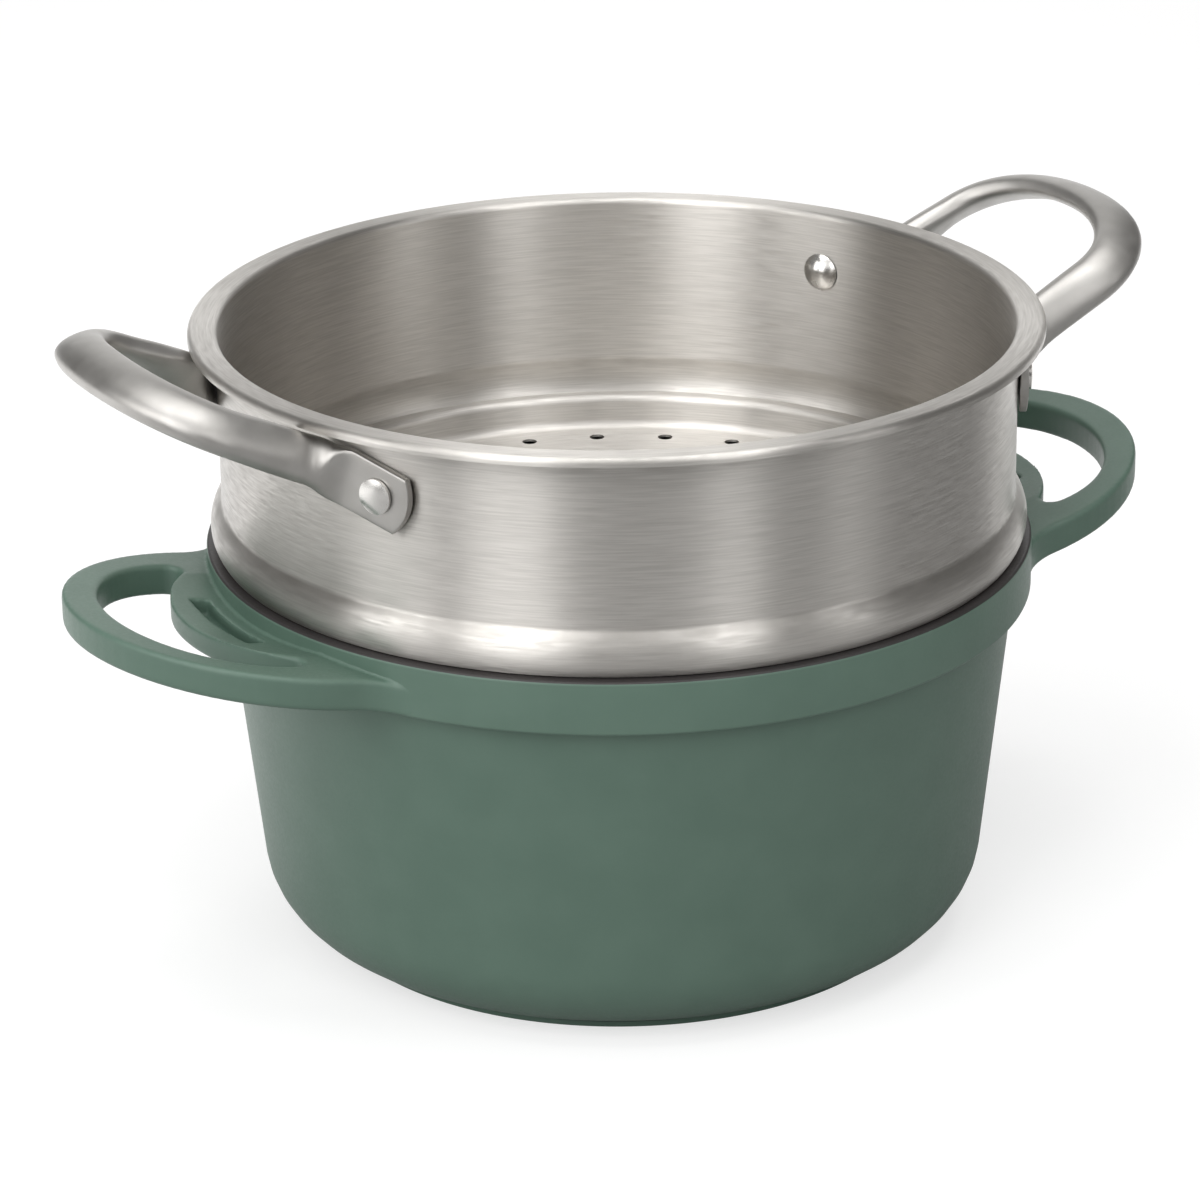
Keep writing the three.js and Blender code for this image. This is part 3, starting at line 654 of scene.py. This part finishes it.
def bend_stations(arm_start, corner, bend_end):
    """Round the bend, a curve that leaves both straights smoothly."""
    stations = []
    for step in range(1, BEND_STEPS + 1):
        t = step / BEND_STEPS
        place = arm_start * (1 - t) ** 2 + corner * 2 * t * (1 - t) + bend_end * t ** 2
        pinch = (t - PINCH_START) / (1 - PINCH_START)
        stations.append((place, tab_section(TAB_WIDTH, smooth(t), smooth(pinch))))
    return stations


def tab_stations(rivet_place, tab_axis):
    """Along the flat tab to its curved end."""
    stations = [(rivet_place + tab_axis * TAB_FLAT, tab_section(TAB_WIDTH, 1.0, 1.0))]
    for step in range(TAB_END_STEPS):
        half = TAB_WIDTH / 2 * math.cos(step / TAB_END_STEPS * math.pi / 2)
        past = TAB_END_CURVE - TAB_PAST_RIVET - math.sqrt(TAB_END_CURVE ** 2 - half ** 2)
        stations.append((rivet_place + tab_axis * past, tab_section(half * 2, 1.0, 1.0)))
    return stations


def handle_stations():
    """Places and sections from the tip of the loop to the end of one flattened tab."""
    tab_radius = STEAMER_RADIUS + FIT_GAP + TAB_THICKNESS / 2
    rivet_place = Vector((tab_radius * math.cos(RIVET_ANGLE), tab_radius * math.sin(RIVET_ANGLE), RIVET_Z))
    level = Vector((math.sin(RIVET_ANGLE), -math.cos(RIVET_ANGLE), 0.0))
    tab_axis = level * math.cos(TAB_TILT) + Vector((0.0, 0.0, math.sin(TAB_TILT)))
    corner = rivet_place + tab_axis * TAB_LENGTH
    arm_end = loop_point(corner, LOOP_END_X, LOOP_HALF_WIDTH)
    arm_start = corner + (arm_end - corner).normalized() * BEND_LENGTH
    bend_end = rivet_place + tab_axis * (TAB_LENGTH - BEND_LENGTH)
    return [
        *loop_stations(corner, arm_start, arm_end),
        *bend_stations(arm_start, corner, bend_end),
        *tab_stations(rivet_place, tab_axis),
    ]


def power(value, exponent):
    """A power that keeps the sign of its base."""
    return math.copysign(abs(value) ** exponent, value)


def section_ring(place, shape, along):
    """Corners of a section: round outside, flatter inside, and a thin strip where it is flattened."""
    up = (Vector((0.0, 0.0, 1.0)) - along * along.z).normalized()
    outward = Vector((along.y, -along.x, 0.0)).normalized()
    wide = up * math.sin(shape["lean"]) - outward * math.cos(shape["lean"])
    thin = up * math.cos(shape["lean"]) + outward * math.sin(shape["lean"])
    ring = []
    for i in range(SECTION_POINTS):
        angle = (i + 0.5) / SECTION_POINTS * 2 * math.pi
        soft = OUTER_POWER if math.sin(angle) > 0 else INNER_POWER
        exponent = blend(soft, TAB_POWER, shape["flat"])
        across = power(math.cos(angle), exponent) * shape["width"] / 2
        through = power(math.sin(angle), exponent) * shape["thickness"] / 2 + shape["stand_off"]
        ring.append(place + wide * across + thin * through)
    return ring


def handle_rings():
    """Sections of a whole handle, from the end of one tab to the end of the other."""
    half = handle_stations()
    mirrored = [(Vector((place.x, -place.y, place.z)), shape) for place, shape in half[1:]]
    stations = mirrored[::-1] + half
    rings = []
    for i, (place, shape) in enumerate(stations):
        before = stations[max(i - 1, 0)][0]
        after = stations[min(i + 1, len(stations) - 1)][0]
        rings.append(section_ring(place, shape, (after - before).normalized()))
    return rings


def skin(rings):
    """A closed skin over a row of rings, each grown from the one before it."""
    bm = bmesh.new()
    verts = bmesh.ops.create_circle(bm, cap_ends=True, segments=len(rings[0]), radius=1.0)["verts"]
    for vert, corner in zip(verts, rings[0]):
        vert.co = corner
    edges = [bm.edges.get((a, b)) for a, b in zip(verts, verts[1:] + verts[:1])]
    for ring in rings[1:]:
        bmesh.ops.extrude_edge_only(bm, edges=edges)
        verts = [next(e.other_vert(v) for e in v.link_edges if e.other_vert(v).co == v.co) for v in verts]
        for vert, corner in zip(verts, ring):
            vert.co = corner
        edges = [bm.edges.get((a, b)) for a, b in zip(verts, verts[1:] + verts[:1])]
    bmesh.ops.contextual_create(bm, geom=verts)
    bmesh.ops.recalc_face_normals(bm, faces=bm.faces)
    return bm


def steamer_handle(side, turn, steel):
    bm = skin(handle_rings())
    turn_about_axis(bm, turn + STEAMER_TURN)
    piece = dress(make_object("handle_" + side, bm), "steamer", [steel])
    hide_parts("steamer_handle_" + side)


def dome(half_width, height, edge_z, way):
    """Profile of a dome from its edge to its crown, which lies above or below the edge."""
    radius = (half_width ** 2 + height ** 2) / (2 * height)
    opening = math.degrees(math.asin(half_width / radius))
    centre_z = edge_z + way * (height - radius)
    return arc(0.0, centre_z, radius, radius, way * (90 - opening), way * 90, ARC_STEPS)


def rivet_profile():
    """Outline of a rivet along its axis, with heights counted outwards from the wall's outer face."""
    inner = INNER_HEAD_DIAMETER / 2
    outer = OUTER_HEAD_DIAMETER / 2
    wall_inside = STEAMER_RADIUS - SHEET
    hollow = wall_inside - math.sqrt(wall_inside ** 2 - inner ** 2)
    inner_seat = -SHEET - hollow - FIT_GAP
    outer_seat = TAB_THICKNESS + 2 * FIT_GAP
    brim = OUTER_HEAD_HEIGHT / 2
    shank = SHANK_DIAMETER / 2
    return [
        *dome(inner, INNER_HEAD_HEIGHT, inner_seat, -1)[::-1],
        Vector((shank, inner_seat)),
        Vector((shank, outer_seat)),
        Vector((outer, outer_seat)),
        *dome(outer, OUTER_HEAD_HEIGHT - brim, outer_seat + brim, 1),
    ]


def rivet(node, angle, steel):
    bm = turned(rivet_profile(), RIVET_SIDES)
    place = Matrix.Rotation(angle + STEAMER_TURN, 4, "Z") @ Matrix.Translation((STEAMER_RADIUS, 0.0, RIVET_Z))
    bmesh.ops.transform(bm, matrix=place @ Matrix.Rotation(math.pi / 2, 4, "Y"), verts=bm.verts)
    piece = dress(make_object(node + "_turned", bm), "steamer", [steel])
    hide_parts(node)


# Helpers for materials

def empty_material(name):
    material = bpy.data.materials.new(name)
    material.use_nodes = True
    material.node_tree.nodes.clear()
    return material


def show(tree, surface):
    output = tree.nodes.new("ShaderNodeOutputMaterial")
    tree.links.new(surface, output.inputs["Surface"])


def new_finish(name):
    """A material with one surface shader, its node tree and that shader."""
    material = empty_material(name)
    tree = material.node_tree
    shader = tree.nodes.new("ShaderNodeBsdfPrincipled")
    show(tree, shader.outputs["BSDF"])
    return material, tree, shader


def object_place(tree):
    return tree.nodes.new("ShaderNodeTexCoord").outputs["Object"]


def add_math(tree, kind, operation, *values):
    """A math node whose first inputs are links or fixed values."""
    node = tree.nodes.new(kind)
    node.operation = operation
    for socket, value in zip(node.inputs, values):
        if isinstance(value, bpy.types.NodeSocket):
            tree.links.new(value, socket)
        else:
            socket.default_value = value
    return node


def vector_math(tree, operation, *values):
    return add_math(tree, "ShaderNodeVectorMath", operation, *values)


def number_math(tree, operation, *values):
    return add_math(tree, "ShaderNodeMath", operation, *values).outputs["Value"]


def map_range(tree, value, source, target, interpolation="LINEAR"):
    node = tree.nodes.new("ShaderNodeMapRange")
    node.interpolation_type = interpolation
    node.inputs["From Min"].default_value, node.inputs["From Max"].default_value = source
    node.inputs["To Min"].default_value, node.inputs["To Max"].default_value = target
    tree.links.new(value, node.inputs["Value"])
    return node.outputs["Result"]


def add_noise(tree, vector, scale, detail):
    noise = tree.nodes.new("ShaderNodeTexNoise")
    noise.inputs["Scale"].default_value = scale
    noise.inputs["Detail"].default_value = detail
    tree.links.new(vector, noise.inputs["Vector"])
    return noise.outputs["Fac"]


def set_tones(tree, shader, value, tones):
    """Let a noise value drift between two tones."""
    ramp = tree.nodes.new("ShaderNodeValToRGB")
    for element, position, tone in zip(ramp.color_ramp.elements, TONE_RANGE, tones):
        element.position = position
        element.color = (*tone, 1.0)
    tree.links.new(value, ramp.inputs["Fac"])
    tree.links.new(ramp.outputs["Color"], shader.inputs["Base Color"])


def set_roughness(tree, shader, value, roughness):
    tree.links.new(map_range(tree, value, GLOSS_RANGE, roughness), shader.inputs["Roughness"])


def set_bump(tree, shader, height, strength, depth):
    bump = tree.nodes.new("ShaderNodeBump")
    bump.inputs["Strength"].default_value = strength
    bump.inputs["Distance"].default_value = depth
    tree.links.new(height, bump.inputs["Height"])
    tree.links.new(bump.outputs["Normal"], shader.inputs["Normal"])


# Finishes

def sprayed_coating(name, tones, roughness):
    """Matt sprayed coating: a fine grain in the surface and a slow drift of tone."""
    material, tree, shader = new_finish(name)
    place = object_place(tree)
    set_tones(tree, shader, add_noise(tree, place, *SPRAY_DRIFT), tones)
    set_roughness(tree, shader, add_noise(tree, place, *SPRAY_GLOSS), roughness)
    set_bump(tree, shader, add_noise(tree, place, *SPRAY_GRAIN), *SPRAY_BUMP)
    return material


def ring_place(tree, streak, fineness):
    """Coordinates that run round the axis: long along a turn, fine across it."""
    parts = tree.nodes.new("ShaderNodeSeparateXYZ")
    tree.links.new(object_place(tree), parts.inputs["Vector"])
    level = tree.nodes.new("ShaderNodeCombineXYZ")
    tree.links.new(parts.outputs["X"], level.inputs["X"])
    tree.links.new(parts.outputs["Y"], level.inputs["Y"])
    radius = vector_math(tree, "LENGTH", level.outputs["Vector"]).outputs["Value"]
    heading = vector_math(tree, "NORMALIZE", level.outputs["Vector"]).outputs["Vector"]
    stretched = vector_math(tree, "SCALE", heading)
    stretched.inputs["Scale"].default_value = streak
    across = number_math(tree, "ADD", radius, parts.outputs["Z"])
    lift = tree.nodes.new("ShaderNodeCombineXYZ")
    tree.links.new(number_math(tree, "MULTIPLY", across, fineness), lift.inputs["Z"])
    return vector_math(tree, "ADD", stretched.outputs["Vector"], lift.outputs["Vector"]).outputs["Vector"]


def brushed_steel(name, tones, roughness, stretch):
    """Steel brushed round the axis: fine broken lines over long ones that drift in tone."""
    material, tree, shader = new_finish(name)
    hairs = add_noise(tree, ring_place(tree, *HAIR_LINES), *HAIR_NOISE)
    lines = add_noise(tree, ring_place(tree, *LONG_LINES), *LONG_NOISE)
    shader.inputs["Metallic"].default_value = 1.0
    shader.inputs["Anisotropic"].default_value = stretch
    shader.inputs["Anisotropic Rotation"].default_value = ACROSS_THE_BRUSHING
    set_tones(tree, shader, lines, tones)
    set_roughness(tree, shader, hairs, roughness)
    set_bump(tree, shader, hairs, *HAIR_BUMP)
    tangent = tree.nodes.new("ShaderNodeTangent")
    tangent.direction_type = "RADIAL"
    tangent.axis = "Z"
    tree.links.new(tangent.outputs["Tangent"], shader.inputs["Tangent"])
    return material


def satin_steel(name, tones, roughness):
    """Smooth satin steel with a cloudy drift of tone and gloss from polishing and handling."""
    material, tree, shader = new_finish(name)
    place = object_place(tree)
    shader.inputs["Metallic"].default_value = 1.0
    set_tones(tree, shader, add_noise(tree, place, *SATIN_CLOUDS), tones)
    set_roughness(tree, shader, add_noise(tree, place, *SATIN_GLOSS), roughness)
    set_bump(tree, shader, add_noise(tree, place, *SATIN_WAVES), *SATIN_BUMP)
    return material


# Studio

def from_camera(turn, rise):
    """Direction out of the object, with the turn in degrees counted from the camera's heading."""
    heading = VIEW_TURN + math.radians(turn)
    level = math.cos(math.radians(rise))
    return Vector((math.sin(heading) * level, -math.cos(heading) * level, math.sin(math.radians(rise))))


def floor_glow(tree, seen, mirrored):
    """Light that the floor adds for the camera everywhere, and for mirrored rays behind the object."""
    behind = vector_math(tree, "DOT_PRODUCT", object_place(tree), from_camera(BACKGROUND_TURN, 0.0))
    far = map_range(tree, behind.outputs["Value"], (BACKGROUND_START, BACKGROUND_FULL),
                    (0.0, BACKGROUND_GLOW), "SMOOTHSTEP")
    mirror = number_math(tree, "MULTIPLY", far, mirrored)
    glow = tree.nodes.new("ShaderNodeEmission")
    tree.links.new(number_math(tree, "MULTIPLY_ADD", seen, FLOOR_GLOW, mirror), glow.inputs["Strength"])
    return glow.outputs["Emission"]


def white_floor():
    bm = bmesh.new()
    bmesh.ops.create_grid(bm, x_segments=1, y_segments=1, size=FLOOR_SIZE)
    floor = make_object("floor", bm)
    material = empty_material("white_floor")
    tree = material.node_tree
    rays = tree.nodes.new("ShaderNodeLightPath").outputs
    paper = tree.nodes.new("ShaderNodeBsdfDiffuse")
    paper.inputs["Color"].default_value = (FLOOR_GREY, FLOOR_GREY, FLOOR_GREY, 1.0)
    both = tree.nodes.new("ShaderNodeAddShader")
    tree.links.new(paper.outputs["BSDF"], both.inputs[0])
    tree.links.new(floor_glow(tree, rays["Is Camera Ray"], rays["Is Glossy Ray"]), both.inputs[1])
    show(tree, both.outputs["Shader"])
    floor.data.materials.append(material)


def soft_lamp(name, turn, rise, distance, size, watts):
    """Lamp that looks at the object from a direction counted from the camera's heading."""
    way = from_camera(turn, rise)
    lamp = bpy.data.lights.new(name, "AREA")
    lamp.shape = "RECTANGLE"
    lamp.size, lamp.size_y = size
    lamp.energy = watts
    holder = bpy.data.objects.new(name, lamp)
    holder.location = Vector((0.0, 0.0, VIEW_HEIGHT)) + way * distance
    holder.rotation_euler = (-way).to_track_quat("-Z", "Y").to_euler()
    bpy.context.scene.collection.objects.link(holder)


def studio_world():
    world = bpy.data.worlds.new("studio")
    bpy.context.scene.world = world
    world.use_nodes = True
    back = world.node_tree.nodes["Background"]
    back.inputs["Color"].default_value = WORLD_COLOUR
    back.inputs["Strength"].default_value = WORLD_LEVEL


def photo_camera():
    data = bpy.data.cameras.new("photo_camera")
    data.lens = VIEW_LENS
    camera = bpy.data.objects.new("photo_camera", data)
    bpy.context.scene.collection.objects.link(camera)
    turn = Matrix.Rotation(VIEW_TURN, 3, "Z")
    back = turn @ Vector((0.0, -math.cos(VIEW_RISE), math.sin(VIEW_RISE)))
    right = turn @ Vector((1.0, 0.0, 0.0))
    up = back.cross(right)
    target = right * VIEW_SIDE_SHIFT + Vector((0.0, 0.0, VIEW_HEIGHT))
    rolled_right = right * math.cos(VIEW_ROLL) + up * math.sin(VIEW_ROLL)
    rolled_up = up * math.cos(VIEW_ROLL) - right * math.sin(VIEW_ROLL)
    axes = Matrix((rolled_right, rolled_up, back)).transposed().to_4x4()
    camera.matrix_world = Matrix.Translation(target + back * VIEW_DISTANCE) @ axes
    bpy.context.scene.camera = camera


def build_pot():
    coating = sprayed_coating("green_coating", GREEN_TONES, GREEN_ROUGHNESS)
    lining = sprayed_coating("dark_lining", LINING_TONES, LINING_ROUGHNESS)
    disc_steel = brushed_steel("turned_disc", DISC_TONES, DISC_ROUGHNESS, DISC_STRETCH)
    pot_shell(coating, lining)
    for side, turn in SIDES.items():
        cast_loop(side, turn, coating)
    base_disc(disc_steel)


def build_steamer():
    sheet_steel = brushed_steel("brushed_sheet", SHEET_TONES, SHEET_ROUGHNESS, SHEET_STRETCH)
    handle_steel = satin_steel("satin_handle", HANDLE_TONES, HANDLE_ROUGHNESS)
    rivet_steel = satin_steel("polished_rivet", RIVET_TONES, RIVET_ROUGHNESS)
    steamer_sheet(sheet_steel)
    for side, turn in SIDES.items():
        steamer_handle(side, turn, handle_steel)
    for node, angle in RIVETS.items():
        rivet(node, angle, rivet_steel)


def build_studio():
    bpy.context.scene.view_settings.view_transform = "Standard"
    white_floor()
    studio_world()
    for name, setting in LAMPS.items():
        soft_lamp(name, *setting)
    photo_camera()


build_pot()
build_steamer()
build_studio()
